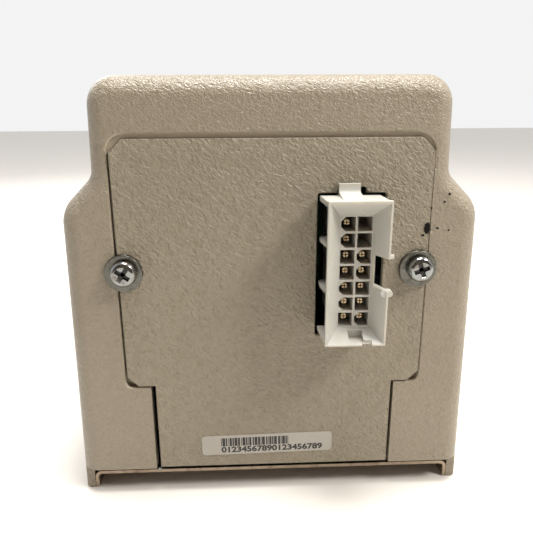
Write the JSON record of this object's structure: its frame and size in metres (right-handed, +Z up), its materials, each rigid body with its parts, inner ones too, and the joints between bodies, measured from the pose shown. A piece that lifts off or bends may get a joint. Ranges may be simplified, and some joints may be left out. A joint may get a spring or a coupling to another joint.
{
  "type": "prepaid electricity meter",
  "caption": "Prepaid electricity meter with sloped shoulders, a screwed rear cover, a floating blind-mate plug connector, a keypad, a display and a sheet-metal base tray.",
  "frame": {"origin": "middle of the footprint, on the surface that the feet stand on", "axes": "+X to the right seen from the keypad side, +Y towards the back with the plug connector, +Z up"},
  "size_m": [0.113, 0.074, 0.1178],
  "materials": {
    "casing": "beige texture paint, fine grain",
    "cover_paint": "beige texture paint, coarse grain",
    "tray_steel": "bare sheet, dull",
    "gasket_rubber": "matt black",
    "clear_window": "clear polished",
    "label_film": "white satin film",
    "zinc_plate": "bright zinc plate",
    "natural_nylon": "milky, slightly translucent",
    "contact_brass": "tinned brass",
    "wire_insulation": "satin",
    "board_laminate": "green solder resist",
    "dark_plastic": "matt moulded",
    "mat_rubber": "silicone, satin",
    "key_plastic": "dark grey, satin",
    "relay_plastic": "blue moulded",
    "transformer_core": "varnished laminations and winding",
    "capacitor_sleeve": "dark sleeve on an aluminium can",
    "battery_wrap": "green wrap on a steel can"
  },
  "bodies": {
    "casing": {"housing_shell": "casing", "rear_cover": "cover_paint", "base_tray": "tray_steel", "front_bezel": "casing", "front_gasket": "gasket_rubber", "display_window": "clear_window", "serial_label": "label_film", "cover_screw_left": "zinc_plate", "cover_screw_right": "zinc_plate", "cover_washer_left": "zinc_plate", "cover_washer_right": "zinc_plate", "tray_screw_1": "zinc_plate", "tray_screw_2": "zinc_plate", "tray_screw_3": "zinc_plate", "tray_screw_4": "zinc_plate", "wire_harness": "wire_insulation", "board_header": "natural_nylon", "main_board": "board_laminate", "front_board": "board_laminate", "board_screw_1": "zinc_plate", "board_screw_2": "zinc_plate", "lcd_module": "dark_plastic", "keypad_mat": "mat_rubber", "status_light_pipe": "clear_window", "ribbon_cable": "wire_insulation", "disconnect_relay": "relay_plastic", "mains_transformer": "transformer_core", "current_sensor": "dark_plastic", "smoothing_capacitor_1": "capacitor_sleeve", "smoothing_capacitor_2": "capacitor_sleeve", "backup_battery": "battery_wrap", "metering_chip": "dark_plastic", "buzzer": "dark_plastic", "tamper_switch": "dark_plastic"},
    "plug_connector": {"connector_housing": "natural_nylon", "contact_pin_01": "contact_brass", "contact_pin_02": "contact_brass", "contact_pin_03": "contact_brass", "contact_pin_04": "contact_brass", "contact_pin_05": "contact_brass", "contact_pin_06": "contact_brass", "contact_pin_07": "contact_brass", "contact_pin_08": "contact_brass", "contact_pin_09": "contact_brass", "contact_pin_10": "contact_brass", "contact_pin_11": "contact_brass", "contact_pin_12": "contact_brass"},
    "plunger": {"tamper_plunger": "natural_nylon"},
    "button_0": {"key_0": "key_plastic"},
    "button_1": {"key_1": "key_plastic"},
    "button_2": {"key_2": "key_plastic"},
    "button_3": {"key_3": "key_plastic"},
    "button_4": {"key_4": "key_plastic"},
    "button_5": {"key_5": "key_plastic"},
    "button_6": {"key_6": "key_plastic"},
    "button_7": {"key_7": "key_plastic"},
    "button_8": {"key_8": "key_plastic"},
    "button_9": {"key_9": "key_plastic"},
    "button_clear": {"key_clear": "key_plastic"},
    "button_enter": {"key_enter": "key_plastic"}
  },
  "joints": [
    {"name": "connector_float", "type": "slide", "parent": "casing", "child": "plug_connector", "axis": [1, 0, 0], "range_m": [-0.0008, 0.0008]},
    {"name": "plunger_press", "type": "slide", "parent": "casing", "child": "plunger", "axis": [0, -1, 0], "range_m": [0, 0.0015], "stiffness_N_per_m": 150, "springref_m": -0.002},
    {"name": "key_0_press", "type": "slide", "parent": "casing", "child": "button_0", "axis": [0, 1, 0], "range_m": [0, 0.001], "stiffness_N_per_m": 900, "springref_m": -0.0004},
    {"name": "key_1_press", "type": "slide", "parent": "casing", "child": "button_1", "axis": [0, 1, 0], "range_m": [0, 0.001], "stiffness_N_per_m": 900, "springref_m": -0.0004},
    {"name": "key_2_press", "type": "slide", "parent": "casing", "child": "button_2", "axis": [0, 1, 0], "range_m": [0, 0.001], "stiffness_N_per_m": 900, "springref_m": -0.0004},
    {"name": "key_3_press", "type": "slide", "parent": "casing", "child": "button_3", "axis": [0, 1, 0], "range_m": [0, 0.001], "stiffness_N_per_m": 900, "springref_m": -0.0004},
    {"name": "key_4_press", "type": "slide", "parent": "casing", "child": "button_4", "axis": [0, 1, 0], "range_m": [0, 0.001], "stiffness_N_per_m": 900, "springref_m": -0.0004},
    {"name": "key_5_press", "type": "slide", "parent": "casing", "child": "button_5", "axis": [0, 1, 0], "range_m": [0, 0.001], "stiffness_N_per_m": 900, "springref_m": -0.0004},
    {"name": "key_6_press", "type": "slide", "parent": "casing", "child": "button_6", "axis": [0, 1, 0], "range_m": [0, 0.001], "stiffness_N_per_m": 900, "springref_m": -0.0004},
    {"name": "key_7_press", "type": "slide", "parent": "casing", "child": "button_7", "axis": [0, 1, 0], "range_m": [0, 0.001], "stiffness_N_per_m": 900, "springref_m": -0.0004},
    {"name": "key_8_press", "type": "slide", "parent": "casing", "child": "button_8", "axis": [0, 1, 0], "range_m": [0, 0.001], "stiffness_N_per_m": 900, "springref_m": -0.0004},
    {"name": "key_9_press", "type": "slide", "parent": "casing", "child": "button_9", "axis": [0, 1, 0], "range_m": [0, 0.001], "stiffness_N_per_m": 900, "springref_m": -0.0004},
    {"name": "key_clear_press", "type": "slide", "parent": "casing", "child": "button_clear", "axis": [0, 1, 0], "range_m": [0, 0.001], "stiffness_N_per_m": 900, "springref_m": -0.0004},
    {"name": "key_enter_press", "type": "slide", "parent": "casing", "child": "button_enter", "axis": [0, 1, 0], "range_m": [0, 0.001], "stiffness_N_per_m": 900, "springref_m": -0.0004}
  ]
}
